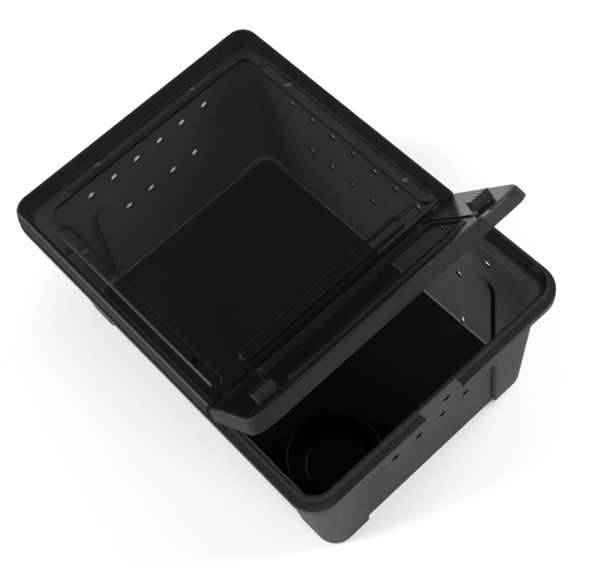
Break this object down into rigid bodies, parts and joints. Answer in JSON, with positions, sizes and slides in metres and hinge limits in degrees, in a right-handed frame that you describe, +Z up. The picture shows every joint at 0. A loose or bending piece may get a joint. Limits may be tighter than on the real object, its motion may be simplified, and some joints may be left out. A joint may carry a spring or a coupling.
{
  "type": "ventilated feeding box",
  "caption": "Tapered black plastic tub with rows of round air vents, a smoke-tinted lift-off lid with a hinged feeding flap and slide latches, and a loose round dish.",
  "frame": {"origin": "centre of the base, on the surface the box stands on", "axes": "+X along the box towards the end with the hinged flap, +Y across the box, +Z up"},
  "size_m": [0.3196, 0.2258, 0.2151],
  "materials": {
    "black_plastic": "satin moulded polypropylene",
    "smoked_plastic": "glossy smoke-tinted translucent",
    "bowl_plastic": "glossy black"
  },
  "bodies": {
    "tub": {"tub": "black_plastic"},
    "lid": {"main_lid": "smoked_plastic"},
    "flap": {"flap": "smoked_plastic"},
    "latch_l": {"latch_left": "smoked_plastic"},
    "latch_r": {"latch_right": "smoked_plastic"},
    "bowl": {"bowl": "bowl_plastic"}
  },
  "joints": [
    {"name": "lid_lift", "type": "slide", "parent": "tub", "child": "lid", "axis": [0, 0, 1], "range_m": [0, 0.06]},
    {"name": "flap_hinge", "type": "hinge", "parent": "lid", "child": "flap", "pos_m": [0.0615, 0, 0.1392], "axis": [0, -1, 0], "range_deg": [-52.3, 42]},
    {"name": "latch_left_slide", "type": "slide", "parent": "flap", "child": "latch_l", "axis": [0, 1, 0], "range_m": [0, 0.0045]},
    {"name": "latch_right_slide", "type": "slide", "parent": "flap", "child": "latch_r", "axis": [0, -1, 0], "range_m": [0, 0.0045]},
    {"name": "bowl_lift", "type": "slide", "parent": "tub", "child": "bowl", "axis": [0, 0, 1], "range_m": [0, 0.1]}
  ]
}
